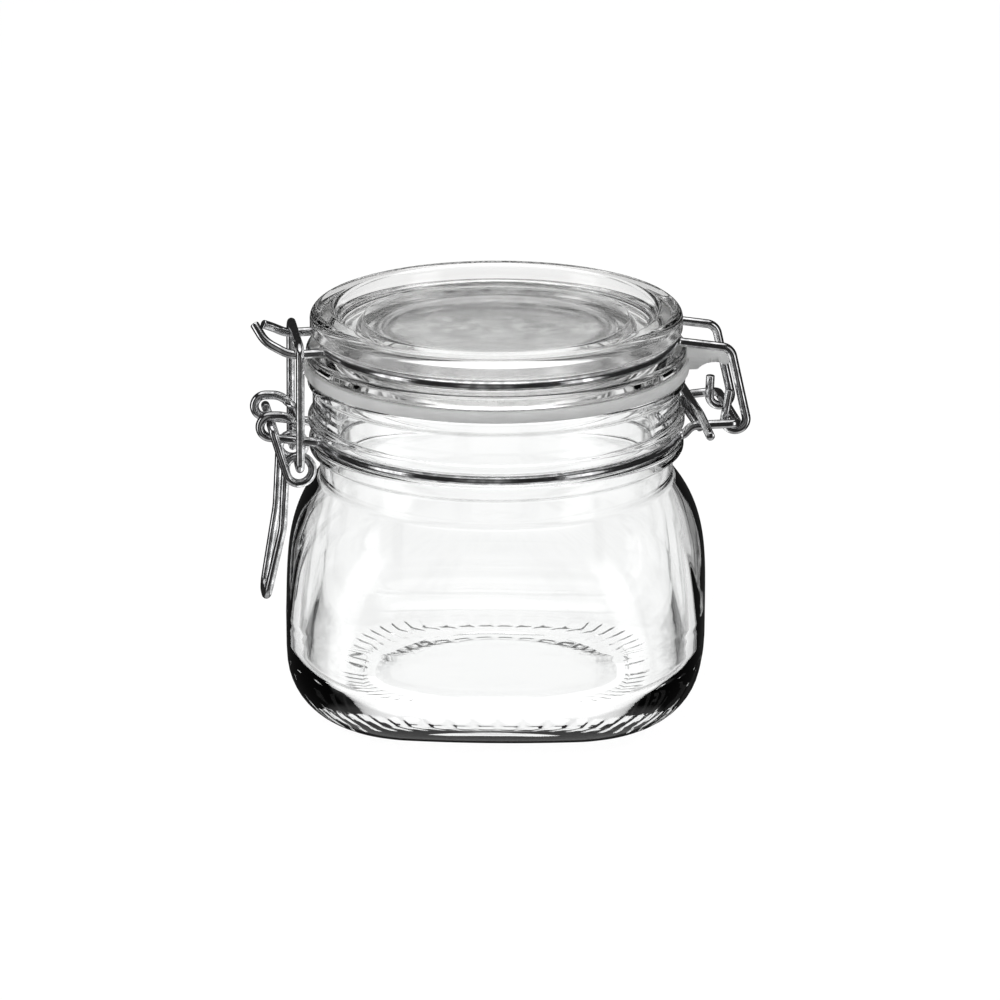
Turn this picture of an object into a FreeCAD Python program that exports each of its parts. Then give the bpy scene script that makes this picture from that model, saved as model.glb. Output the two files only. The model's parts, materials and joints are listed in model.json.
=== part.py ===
import FreeCAD, Part
import math
import os

# Clip-top storage jar: a rounded-square glass jar with a round neck, a glass lid with its
# sealing ring, and four bent wires that make the hinge and the over-centre latch.
# Millimetres. Origin: centre of the base. +Z up, +X towards the hinge, -X towards the latch.

Vector = FreeCAD.Vector
CENTRE = Vector(0, 0, 0)
AXIS_Y = Vector(0, 1, 0)
AXIS_Z = Vector(0, 0, 1)

# --- driving dimensions: glass jar ---
body_width = 103.6          # across the sides at the fullest level
base_width = 69.0           # across the flat that the jar stands on
heel_height = 18.0          # height over which the base rounds into the sides
full_height = 25.9          # level at which the jar is widest
shoulder_height = 57.5      # level at which the square body has become round
shoulder_fullness = 3.3     # how long the sides stay full before they turn in to the waist
corner_radius = 29.9        # plan radius of the body corners at the fullest level
base_corner_radius = 16.3   # and at the base
side_arc = 6.4              # half of the shallow arc that each side makes, degrees
body_turn = -9.0            # turn of the square body about the round neck, degrees
wall = 3.2                  # glass thickness of the sides
floor_height = 6.0          # top of the glass floor above the table
recess_rise = 2.6           # rise of the recess under the base
recess_radius = 29.0

neck_radius = 45.0          # plain band of the neck
waist_depth = 1.6           # waist between the shoulder and the neck, in from the plain band
bead_reach = 1.2            # how far the beads stand out from the plain band
bead_width = 2.0
groove_depth = 1.5          # how far the wire groove is cut in from the plain band
groove_width = 3.2
groove_height = 69.0        # centre of the groove that holds the neck wire
mouth_wall = 5.0            # glass thickness round the mouth
collar_width = 3.0          # collar under the wire groove
land_height = 83.7          # sealing face at the top of the neck

# --- driving dimensions: sealing ring and lid ---
gasket_thickness = 2.9
gasket_overhang = 2.1       # how far the ring stands out beyond the plain band of the neck
gasket_step = 0.4           # bore of the ring, out from the mouth
tab_reach = 11.3            # how far the pull tab stands out from the ring
tab_width = 15.0
tab_web = 1.3               # thickness left over the finger groove under the tab

lid_height = 12.7           # lid above the sealing ring
lid_flange_overhang = 1.5   # how far the flange stands out beyond the plain band of the neck
lid_flange_height = 3.4
lid_bead_setback = 0.6      # bead over the groove, in from the flange
lid_groove_depth = 3.6      # groove that holds the lid wire, in from the bead
lid_rim_width = 6.0         # raised rim, in from the bead
lid_well_width = 7.3        # from the rim to the raised disc in the middle of the lid
lid_well_depth = 4.4        # round well between the rim and the disc, below the rim
lid_disc_rise = 2.0         # edge of the disc above the well
lid_disc_dish = 1.2         # fall of the disc's face to its middle
spigot_depth = 2.4          # spigot under the lid that centres the sealing ring
spigot_width = 6.1          # from the outside of the spigot to the hollow in the underside
lid_hollow_depth = 5.8

# --- driving dimensions: wires ---
wire = 2.2                  # diameter of the neck wire and the lid wire
latch_wire = 2.1            # diameter of the lever and the link
seat_gap = 0.12             # between a wire and what it is bent round
running_gap = 0.3           # between wires that move on each other
tight_bend = 2.0            # centreline radius of the tight bends
open_bend = 3.2             # centreline radius of the open bends

hinge_reach = 12.9          # hinge axis outside the neck wire's ring
hinge_rise = 2.5            # hinge axis above the neck wire's ring
hinge_half_width = 14.0     # half the length of the hinge crossbar
tail_reach = 4.2            # straight tail that locks the ring closed, outside the ring
tail_rise = 3.4             # tail above the ring, where it lies on the hinge strands
tail_half_length = 20.0
hook_half_width = 10.5      # half the distance between the lid wire's hooks
hook_clearance = 0.5        # between a hook and the crossbar in it
strand_corner_drop = 2.2    # corner of a hinge strand below the lid wire's ring
front_stub = 7.6            # cut end of the front hook above the hinge axis
rear_stub = 5.2

eye_reach = 9.82            # least distance of the lever pivot outside the neck's beads
handle_gap = 0.77           # least distance between the side of the jar and the handle
eye_rise = 4.6              # lever pivot above the neck wire's ring
eye_half_width = 8.9        # half the distance between the two eyes
eye_clearance = 0.45        # between an eye and the lever's end in it
eye_bar_inset = 5.4         # bar that joins the eyes, inside the lever pivot

coil_inset = 6.5            # lever coil inside the lever pivot
coil_drop = 10.8            # lever coil below the lever pivot
coil_radius = 3.2           # centreline radius of the coil
handle_drop = 45.2          # handle's tip below the lever pivot
handle_bend_drop = 25.8     # bend in the handle below the lever pivot
handle_inset = 2.4          # straight part of the handle inside the lever pivot
handle_kick = 3.9           # how far the tip stands out beyond the straight part
handle_tip_half_width = 4.4

tongue_front_tip = (10.4, 7.1)   # front of the tongue's tip outside and above the link's seat
tongue_rear_tip = (7.6, 4.8)     # rear of the tip, which the closing bend leaves lower
tongue_turn_up = (6.2, 1.8)      # where the tongue turns up towards its tip
tongue_half_width = 10.0
tongue_turn_half_width = 7.6
tongue_bend = 6.0           # centreline radius of the bend that the link sits in
tongue_tip_half_width = 4.8
link_lean = 1.0             # seat of the link outside its foot
link_seat_dip = 0.2         # seat of the link below the lid wire's ring

# --- sizes that follow from them ---
bead_radius = neck_radius + bead_reach
collar_radius = bead_radius - 0.2
waist_radius = neck_radius - waist_depth
mouth_radius = neck_radius - mouth_wall
gasket_radius = neck_radius + gasket_overhang
gasket_bore_radius = mouth_radius + gasket_step
lid_flange_radius = neck_radius + lid_flange_overhang
lid_bead_radius = lid_flange_radius - lid_bead_setback
lid_groove_radius = lid_bead_radius - lid_groove_depth
lid_disc_radius = lid_bead_radius - lid_rim_width - lid_well_width
spigot_radius = gasket_bore_radius - running_gap
lid_hollow_radius = spigot_radius - spigot_width
lid_underside = land_height + gasket_thickness
lid_top = lid_underside + lid_height
ring_radius = neck_radius - groove_depth + wire / 2 + seat_gap
lid_ring_radius = lid_groove_radius + wire / 2 + seat_gap
lid_groove_height = lid_underside + lid_flange_height + wire / 2 + 0.8
eye_radius = wire / 2 + latch_wire / 2 + eye_clearance
hook_radius = wire + hook_clearance
lever_half_width = eye_half_width + wire / 2 + latch_wire / 2 + seat_gap
coil_pitch = latch_wire + seat_gap
link_half_width = lever_half_width + latch_wire + running_gap

handle_reach = body_width / 2 + handle_gap + latch_wire / 2
lever_reach = max(bead_radius + eye_reach, handle_reach + handle_inset)
hinge_pin = Vector(ring_radius + hinge_reach, 0, groove_height + hinge_rise)
lever_pin = Vector(-lever_reach, 0, groove_height + eye_rise)
coil_pin = lever_pin + Vector(coil_inset, 0, -coil_drop)
link_foot = coil_pin + Vector(0, 0, coil_radius - latch_wire - running_gap)
link_seat = Vector(link_foot.x - link_lean, 0, lid_groove_height - link_seat_dip)
tongue_slope = math.atan2(tongue_turn_up[1], tongue_turn_up[0])
seat_lift = wire / 2 + latch_wire / 2 + running_gap
seat_lift += tongue_bend * (1 / math.cos(tongue_slope / 2) - 1)
link_bar = link_seat + Vector(
    seat_lift * math.sin(tongue_slope / 2), 0, seat_lift * math.cos(tongue_slope / 2)
)


# --- shared helpers: outlines and solids of revolution ---

def rounded_edges(corners):
    """Edges through (point, radius) corners: straight runs joined by tangent arcs."""
    edges = []
    start = corners[0][0]
    for (before, _), (corner, radius), (after, _) in zip(corners, corners[1:], corners[2:]):
        arriving = (corner - before).normalize()
        leaving = (after - corner).normalize()
        half_turn = arriving.getAngle(leaving) / 2
        first = corner - arriving * radius * math.tan(half_turn)
        last = corner + leaving * radius * math.tan(half_turn)
        if start.distanceToPoint(first) > 1e-4:
            edges.append(Part.makeLine(start, first))
            start = first
        if radius:
            inward = (leaving - arriving).normalize()
            middle = corner + inward * radius * (1 / math.cos(half_turn) - 1)
            edges.append(Part.Arc(start, middle, last).toShape())
            start = last
    edges.append(Part.makeLine(start, corners[-1][0]))
    return edges


def revolve(points):
    """Solid of revolution about Z from a closed outline of (radius, height, rounding) corners."""
    corners = [(Vector(radius, 0, height), rounding) for radius, height, rounding in points]
    seam = (corners[-1][0] + corners[0][0]) / 2
    outline = Part.Wire(rounded_edges([(seam, 0), *corners, (seam, 0)]))
    return Part.Face(outline).revolve(CENTRE, AXIS_Z, 360)


# --- shared helpers: bent wires ---

def bent_wire(diameter, corners):
    """Round wire through (point, bend radius) corners."""
    path = Part.Wire(rounded_edges(corners))
    heading = corners[1][0] - corners[0][0]
    section = Part.Wire(Part.makeCircle(diameter / 2, corners[0][0], heading))
    return path.makePipeShell([section], True, False)


def mirrored(corners):
    """The same corners on the other side of the XZ plane, in the opposite order."""
    return [(Vector(p.x, -p.y, p.z), radius) for p, radius in reversed(corners)]


def touch_angle(pin, radius, point, side):
    """Angle about a Y-wise pin at which a line from the point touches a circle round the pin."""
    across, up = point.x - pin.x, point.z - pin.z
    return math.atan2(up, across) + side * math.acos(radius / math.hypot(across, up))


def wrap(pin, radius, before, after, winding):
    """Corners that bend a wire round a Y-wise pin on its way from one point to another.

    winding is +1 for a turn from +X towards +Z and -1 for the other way. The bends step evenly
    from the first point's Y to the last one's, so that a full turn becomes a coil.
    """
    start = touch_angle(pin, radius, before, winding)
    end = touch_angle(pin, radius, after, -winding)
    turn = winding * (end - start) % (2 * math.pi)
    count = math.ceil(turn / math.radians(75))
    corners = []
    for number in range(count):
        angle = start + winding * turn * (number + 0.5) / count
        reach = radius / math.cos(turn / count / 2)
        across = pin.x + reach * math.cos(angle)
        along = before.y + (after.y - before.y) * number / max(count - 1, 1)
        corners.append((Vector(across, along, pin.z + reach * math.sin(angle)), radius))
    return corners


def ring_corners(radius, height, start, end):
    """Corners whose bends together make a level arc about Z, from one angle to another."""
    count = math.ceil(abs(end - start) / math.radians(60))
    step = (end - start) / count
    reach = radius / math.cos(step / 2)
    corners = []
    for number in range(count):
        angle = start + step * (number + 0.5)
        corners.append((Vector(reach * math.cos(angle), reach * math.sin(angle), height), radius))
    return corners


def exit_angle(radius, half_width):
    """Angle from the X axis at which a wire leaves its ring to bend out along X."""
    return math.asin((half_width + tight_bend) / radius)


def exit_corner(radius, half_width, height, side):
    """Where the wire that left its ring at the exit angle turns out along X."""
    angle = exit_angle(radius, half_width)
    across = radius * math.cos(angle) + tight_bend * math.tan(angle)
    return Vector(side * across, half_width, height), tight_bend


# --- glass jar ---

def body_section(half_width, corner, arc, height, turn):
    """Level outline of four shallow side arcs and four corner arcs, tangent to each other."""
    cos_arc, sin_arc = math.cos(arc), math.sin(arc)
    side = (half_width - corner * (cos_arc - sin_arc)) / (1 - cos_arc + sin_arc)
    side_end = Vector(half_width - side + side * cos_arc, side * sin_arc, height)
    centre = (side - corner) * sin_arc
    diagonal = centre + corner * math.sqrt(0.5)
    side_start = Vector(side_end.x, -side_end.y, height)
    corner_end = Vector(side_end.y, side_end.x, height)
    edges = []
    for quarter in range(4):
        rotation = FreeCAD.Rotation(AXIS_Z, turn + 90 * quarter)
        side_arc_points = (side_start, Vector(half_width, 0, height), side_end)
        corner_points = (side_end, Vector(diagonal, diagonal, height), corner_end)
        for points in (side_arc_points, corner_points):
            edges.append(Part.Arc(*[rotation.multVec(p) for p in points]).toShape())
    return Part.Wire(edges)


def body_form(inset, bottom, heel):
    """Solid of the square body: its outside with no inset, its hollow with the wall as inset."""
    base = base_width / 2 - inset
    full = body_width / 2 - inset
    top = waist_radius - inset
    base_plan = base_corner_radius - inset
    full_plan = corner_radius - inset
    sections = []
    for share in (0.0, 0.2, 0.4, 0.6, 0.8, 1.0):
        lift = math.radians(90 * share)
        half_width = base + (full - base) * math.sin(lift)
        plan = base_plan + (full_plan - base_plan) * math.sin(lift)
        sections.append((half_width, plan, side_arc, bottom + heel * (1 - math.cos(lift))))
    for share in (0.0, 0.2, 0.4, 0.6, 0.75, 0.88, 1.0):
        half_width = full + (top - full) * share ** shoulder_fullness
        plan = full_plan + (top - full_plan) * share
        height = full_height + (shoulder_height - full_height) * share
        sections.append((half_width, plan, side_arc + (22.5 - side_arc) * share, height))
    outlines = []
    for half_width, plan, arc, height in sections:
        outlines.append(body_section(half_width, plan, math.radians(arc), height, body_turn))
    return Part.makeLoft(outlines, True, False)


def make_jar_body():
    """Square body that grows into a round neck with two beads and a groove for the wire."""
    groove_radius = neck_radius - groove_depth
    groove_low = groove_height - groove_width / 2
    groove_high = groove_height + groove_width / 2
    low_bead = groove_high + bead_width
    high_bead = land_height - 0.8 - bead_width
    collar_low = groove_low - collar_width
    throat_radius = waist_radius - wall
    neck = revolve([
        (throat_radius, shoulder_height, 0),
        (waist_radius, shoulder_height, 0),
        (waist_radius, collar_low - 0.6, 1.6),
        (collar_radius, collar_low, 0.9),
        (collar_radius, groove_low, 0.7),
        (groove_radius, groove_low, 0.9),
        (groove_radius, groove_high, 0.9),
        (bead_radius, groove_high, 0.8),
        (bead_radius, low_bead, 0.8),
        (neck_radius, low_bead + 0.6, 1.0),
        (neck_radius, high_bead - 0.6, 1.0),
        (bead_radius, high_bead, 0.8),
        (bead_radius, high_bead + bead_width, 0.8),
        (neck_radius + 0.4, land_height, 0.6),
        (mouth_radius, land_height, 1.2),
        (mouth_radius, groove_high, 5.0),
        (throat_radius, shoulder_height + 2.0, 3.0),
    ])
    recess = revolve([
        (0, -1, 0),
        (recess_radius + 1.5, -1, 0),
        (recess_radius + 1.5, 0, 0),
        (recess_radius - 2.5, recess_rise, 2.5),
        (0, recess_rise + 0.6, 0),
    ])
    outside = body_form(0, 0, heel_height)
    hollow = body_form(wall, floor_height, heel_height - wall)
    return outside.cut(hollow).fuse(neck).cut(recess).removeSplitter()


# --- sealing ring ---

def make_gasket():
    """Flat silicone ring with a pull tab between the hinge strands."""
    ring = revolve([
        (gasket_bore_radius, land_height, 0.4),
        (gasket_radius, land_height, 0.4),
        (gasket_radius, lid_underside, 0.4),
        (gasket_bore_radius, lid_underside, 0.4),
    ])
    tip = gasket_radius + tab_reach
    half = tab_width / 2
    plan = [
        (Vector(mouth_radius + 2, -half, land_height), 0),
        (Vector(tip - half * 0.7, -half, land_height), half * 0.6),
        (Vector(tip, -half * 0.25, land_height), 1.5),
        (Vector(tip, half * 0.25, land_height), 1.5),
        (Vector(tip - half * 0.7, half, land_height), half * 0.6),
        (Vector(mouth_radius + 2, half, land_height), 0),
    ]
    edges = rounded_edges(plan)
    edges.append(Part.makeLine(plan[-1][0], plan[0][0]))
    tab = Part.Face(Part.Wire(edges)).extrude(Vector(0, 0, gasket_thickness))
    finger_radius = 5.0
    finger_top = lid_underside - tab_web
    finger_at = Vector(tip - tab_reach / 2 - 0.5, -tab_width, finger_top - finger_radius)
    finger = Part.makeCylinder(finger_radius, 2 * tab_width, finger_at, AXIS_Y)
    return ring.fuse(tab.cut(finger)).removeSplitter()


# --- lid ---

def make_lid():
    """Pressed glass lid: flange, groove for its wire, raised rim, round well and dished disc."""
    flange_top = lid_underside + lid_flange_height
    bead_low = lid_groove_height + wire / 2 + 0.8
    rim_inner = lid_bead_radius - lid_rim_width
    well = lid_top - lid_well_depth
    disc = well + lid_disc_rise
    spigot = lid_underside - spigot_depth
    return revolve([
        (0, spigot + lid_hollow_depth, 0),
        (lid_hollow_radius - 6, spigot + lid_hollow_depth, 8.0),
        (lid_hollow_radius, spigot, 1.5),
        (spigot_radius, spigot, 0.8),
        (spigot_radius, lid_underside, 0.5),
        (lid_flange_radius, lid_underside, 0.8),
        (lid_flange_radius, flange_top, 1.2),
        (lid_groove_radius, flange_top + 0.3, 0.9),
        (lid_groove_radius, bead_low - 0.2, 0.9),
        (lid_bead_radius, bead_low, 1.0),
        (lid_bead_radius, lid_top, 1.8),
        (rim_inner, lid_top, 1.6),
        (rim_inner - 1.6, well, 1.6),
        (lid_disc_radius + 1.2, well, 0.8),
        (lid_disc_radius, disc, 0.8),
        (lid_disc_radius * 0.55, disc - lid_disc_dish, 30.0),
        (0, disc - lid_disc_dish, 0),
    ])


# --- wires ---

def make_neck_wire():
    """One wire: ring in the neck's groove, two eyes for the lever and the loop of the hinge.

    It starts at the straight tail that lies across the hinge strands, and ends in the collar
    that the rear hinge strand makes over that tail.
    """
    hinge_exit = exit_angle(ring_radius, hinge_half_width)
    eye_exit = exit_angle(ring_radius, eye_half_width)
    tail_across = ring_radius + tail_reach
    tail_height = groove_height + tail_rise
    tail_end = Vector(tail_across + 0.9, -tail_half_length - 5, tail_height - 0.3)
    tail_start = Vector(tail_across, hinge_half_width + 3.2, tail_height)
    off_ring = math.atan2(tail_start.y, tail_start.x)
    off_ring += math.acos(ring_radius / math.hypot(tail_start.x, tail_start.y))
    bead_clear = bead_radius + wire
    level_run = math.sqrt(bead_clear ** 2 - ring_radius ** 2)
    lift_off = Vector(
        ring_radius * math.cos(off_ring) + level_run * math.sin(off_ring),
        ring_radius * math.sin(off_ring) - level_run * math.cos(off_ring),
        groove_height,
    )

    to_eye = exit_corner(ring_radius, eye_half_width, groove_height, -1)
    eye_height = lever_pin.z + eye_radius - 0.4
    eye_bar = Vector(lever_pin.x + eye_bar_inset, eye_half_width, eye_height)
    pin = Vector(lever_pin.x, eye_half_width, lever_pin.z)
    rear_eye = [to_eye, *wrap(pin, eye_radius, to_eye[0], eye_bar, -1), (eye_bar, tight_bend)]

    to_hinge = exit_corner(ring_radius, hinge_half_width, groove_height, 1)
    crossbar_end = Vector(hinge_pin.x, hinge_half_width, hinge_pin.z)
    half = hinge_half_width
    around = wire + seat_gap
    collar = [
        (Vector(tail_across + 3.6, half, hinge_pin.z - 0.6), 1.6),
        (Vector(tail_across + 1.0, half, tail_height + around + 0.1), 1.6),
        (Vector(tail_across - around, half - 0.4, tail_height + 1.2), 1.6),
        (Vector(tail_across - around, half - 1.0, tail_height - around - 0.1), 1.5),
        (Vector(tail_across - 0.7, wire + running_gap - half, tail_height - around - 0.3), 0),
    ]
    corners = [(tail_end, 0), (tail_start, open_bend), (lift_off, open_bend)]
    corners += ring_corners(ring_radius, groove_height, off_ring, math.pi - eye_exit)
    corners += rear_eye + mirrored(rear_eye)
    corners += ring_corners(ring_radius, groove_height, eye_exit - math.pi, -hinge_exit)
    corners += mirrored([(crossbar_end, tight_bend), to_hinge])
    corners += [(crossbar_end, tight_bend), *collar]
    return bent_wire(wire, corners)


def make_lid_wire():
    """One wire: hook, hinge strand, half of the lid's groove, tongue, and the same back again."""
    height = lid_groove_height
    hinge_exit = exit_angle(lid_ring_radius, hook_half_width)
    tongue_exit = exit_angle(lid_ring_radius, tongue_half_width)
    shoulder = Vector(hinge_pin.x - 1.4, -hook_half_width, height - strand_corner_drop)
    pin = Vector(hinge_pin.x, -hook_half_width, hinge_pin.z)

    def hook(stub, lean):
        """Front hook from its cut end, which leans out by some amount, to the strand's corner."""
        end = Vector(pin.x - hook_radius + lean, pin.y, pin.z + stub)
        return [(end, 0), *wrap(pin, hook_radius, end, shoulder, 1), (shoulder, open_bend)]

    def tongue(tip):
        """Front half of the tongue, from the seat of the link to its tip."""
        spots = (
            ((0, 0), tongue_half_width, tongue_bend),
            (tongue_turn_up, tongue_turn_half_width, 4.0),
            (tip, tongue_tip_half_width, 3.0),
        )
        return [
            (link_seat + Vector(-across, -half_width, up), bend)
            for (across, up), half_width, bend in spots
        ]

    front_ring = mirrored([
        exit_corner(lid_ring_radius, tongue_half_width, height, -1),
        *ring_corners(lid_ring_radius, height, math.pi - tongue_exit, hinge_exit),
        exit_corner(lid_ring_radius, hook_half_width, height, 1),
    ])
    corners = hook(front_stub, 1.2) + front_ring + tongue(tongue_front_tip)
    corners += mirrored(tongue(tongue_rear_tip)) + mirrored(front_ring)
    corners += mirrored(hook(rear_stub, 0.2))
    return bent_wire(wire, corners)


def make_lever():
    """One wire: an end in each eye, an arm to a coil on each side, and the handle between."""
    side = lever_half_width
    arm_top = Vector(lever_pin.x, -side, lever_pin.z)
    end = Vector(lever_pin.x, wire / 2 + 1.3 - eye_half_width, lever_pin.z)
    strand = coil_pitch - side
    handle_across = lever_pin.x + handle_inset
    bend = Vector(handle_across, strand, lever_pin.z - handle_bend_drop)
    tip_height = lever_pin.z - handle_drop
    tip = Vector(handle_across - handle_kick, -handle_tip_half_width, tip_height)
    front = [(end, 0), (arm_top, tight_bend), *wrap(coil_pin, coil_radius, arm_top, bend, 1)]
    front += [(bend, 12.0), (tip, 3.6)]
    return bent_wire(latch_wire, front + mirrored(front))


def make_latch_link():
    """One wire: a foot through each coil, two legs, and the bar that clamps the tongue."""
    end = Vector(link_foot.x, coil_pitch - lever_half_width + 2.4, link_foot.z)
    foot = Vector(link_foot.x, -link_half_width, link_foot.z)
    top = Vector(link_bar.x, -link_half_width, link_bar.z)
    front = [(end, 0), (foot, tight_bend), (top, open_bend)]
    return bent_wire(latch_wire, front + mirrored(front))


nodes = {
    "jar_body": make_jar_body,
    "neck_wire": make_neck_wire,
    "gasket": make_gasket,
    "lid": make_lid,
    "lid_wire": make_lid_wire,
    "lever": make_lever,
    "latch_link": make_latch_link,
}

os.makedirs("parts", exist_ok=True)
for name, make in nodes.items():
    shape = make()
    if shape.ShapeType == "Compound":
        shape = shape.Solids[0]
    shape.exportStep(f"parts/{name}.step")
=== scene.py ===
"""Clip-top storage jar of pressed glass, with a silicone seal and bent steel wires."""

import json
import logging
import math
from dataclasses import dataclass, field
from enum import Enum

import bpy
import numpy as np
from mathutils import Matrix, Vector

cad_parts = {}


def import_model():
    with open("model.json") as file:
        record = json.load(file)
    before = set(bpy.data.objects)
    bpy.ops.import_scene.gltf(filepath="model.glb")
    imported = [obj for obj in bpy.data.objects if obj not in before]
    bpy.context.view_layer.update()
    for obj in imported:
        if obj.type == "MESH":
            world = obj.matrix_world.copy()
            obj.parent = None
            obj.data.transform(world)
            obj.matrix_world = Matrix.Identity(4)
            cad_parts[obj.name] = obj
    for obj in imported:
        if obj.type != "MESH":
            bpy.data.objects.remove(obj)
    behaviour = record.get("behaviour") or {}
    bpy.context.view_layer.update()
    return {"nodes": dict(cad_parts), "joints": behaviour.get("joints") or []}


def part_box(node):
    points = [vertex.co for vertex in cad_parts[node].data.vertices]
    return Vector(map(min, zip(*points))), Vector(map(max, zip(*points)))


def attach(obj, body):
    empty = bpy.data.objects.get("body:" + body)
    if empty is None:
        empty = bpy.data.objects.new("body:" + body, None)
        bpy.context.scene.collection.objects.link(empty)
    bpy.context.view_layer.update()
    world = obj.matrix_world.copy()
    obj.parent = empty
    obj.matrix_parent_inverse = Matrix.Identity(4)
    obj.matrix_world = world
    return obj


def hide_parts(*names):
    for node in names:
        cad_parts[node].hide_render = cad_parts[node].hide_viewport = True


LOG = logging.getLogger("clip_top_jar")
MM = 0.001
MERGE = 1e-6  # Vertices this close, in metres, are one.
STRAIGHT = 1e-4  # A smaller turn, in radians, needs no arc.
NOISE = (0.35, 0.65)  # Where most values of a noise texture lie.
WIDE_NOISE = (0.3, 0.7)

Number = float | int
Profile = list[tuple[float, float]]
Route = list[tuple[Vector, float]]


class Body(Enum):
    """Bodies of the mechanism, by their names in the record."""

    JAR = "jar"
    LID = "lid"
    LEVER = "lever"
    LINK = "link"


class Slot(Enum):
    """Material slots, by their names in the record."""

    GLASS = "glass"
    SILICONE = "silicone"
    STEEL = "steel"


# --- shader arithmetic ---

class Signal:
    """Output socket of a shader graph that takes part in ordinary arithmetic."""

    def __init__(self, graph: "Graph", socket: bpy.types.NodeSocket) -> None:
        """Keep the socket and the graph that it belongs to."""
        self.graph = graph
        self.socket = socket

    def _maths(self, operation: str, *values: "Signal | Number") -> "Signal":
        """Return one Math node that is fed with the values in order."""
        settings = {"operation": operation}
        return self.graph.add("ShaderNodeMath", dict(enumerate(values)), settings)

    def __add__(self, other: "Signal | Number") -> "Signal":
        """Return self + other."""
        return self._maths("ADD", self, other)

    def __radd__(self, other: "Signal | Number") -> "Signal":
        """Return other + self."""
        return self._maths("ADD", other, self)

    def __sub__(self, other: "Signal | Number") -> "Signal":
        """Return self - other."""
        return self._maths("SUBTRACT", self, other)

    def __rsub__(self, other: "Signal | Number") -> "Signal":
        """Return other - self."""
        return self._maths("SUBTRACT", other, self)

    def __mul__(self, other: "Signal | Number") -> "Signal":
        """Return self * other."""
        return self._maths("MULTIPLY", self, other)

    def __rmul__(self, other: "Signal | Number") -> "Signal":
        """Return other * self."""
        return self._maths("MULTIPLY", other, self)

    def cosine(self) -> "Signal":
        """Return the cosine of an angle in radians."""
        return self._maths("COSINE", self)

    def larger(self, other: "Signal | Number") -> "Signal":
        """Return the larger of two values."""
        return self._maths("MAXIMUM", self, other)

    def ramp(self, low: float, high: float, start: float = 0.0, end: float = 1.0) -> "Signal":
        """Ease from one value to another.

        Args:
            low: Input at which the result is start.
            high: Input at which the result is end.
            start: Result at and below low.
            end: Result at and above high.

        Returns:
            A smooth step between the two results.
        """
        inputs = {"Value": self, "From Min": low, "From Max": high, "To Min": start, "To Max": end}
        return self.graph.add("ShaderNodeMapRange", inputs, {"interpolation_type": "SMOOTHSTEP"})


class Graph:
    """Shader nodes of one material, light or world."""

    def __init__(self, owner: bpy.types.ID) -> None:
        """Clear the owner's node tree and start on it."""
        owner.use_nodes = True
        self.tree = owner.node_tree
        self.tree.nodes.clear()

    def add(
        self,
        kind: str,
        inputs: dict | None = None,
        settings: dict | None = None,
        output: int | str = 0,
    ) -> Signal:
        """Add any node.

        Args:
            kind: Blender's name for the type of node.
            inputs: Signals or plain values by input name or number.
            settings: Properties of the node itself.
            output: Name or number of the output to return.

        Returns:
            The chosen output of the new node.
        """
        node = self.tree.nodes.new(kind)
        for name, value in (settings or {}).items():
            setattr(node, name, value)
        for name, value in (inputs or {}).items():
            if isinstance(value, Signal):
                self.tree.links.new(value.socket, node.inputs[name])
            else:
                node.inputs[name].default_value = value
        return Signal(self, node.outputs[output])

    def also(self, signal: Signal, output: int | str) -> Signal:
        """Return another output of the node that made a signal."""
        return Signal(self, signal.socket.node.outputs[output])

    def noise(self, place: Signal, scale: float, detail: float) -> Signal:
        """Return the value of a noise texture."""
        return self.add("ShaderNodeTexNoise", {"Vector": place, "Scale": scale, "Detail": detail})

    def colour(self, *parts: Signal) -> Signal:
        """Join red, green and blue into a colour."""
        return self.add("ShaderNodeCombineColor", dict(enumerate(parts)))

    def surface(self, shader: Signal, owner: str = "Material") -> None:
        """Feed the finished shader to the output node of a material or world."""
        node = self.tree.nodes.new(f"ShaderNodeOutput{owner}")
        self.tree.links.new(shader.socket, node.inputs["Surface"])


# --- finishes ---

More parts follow.
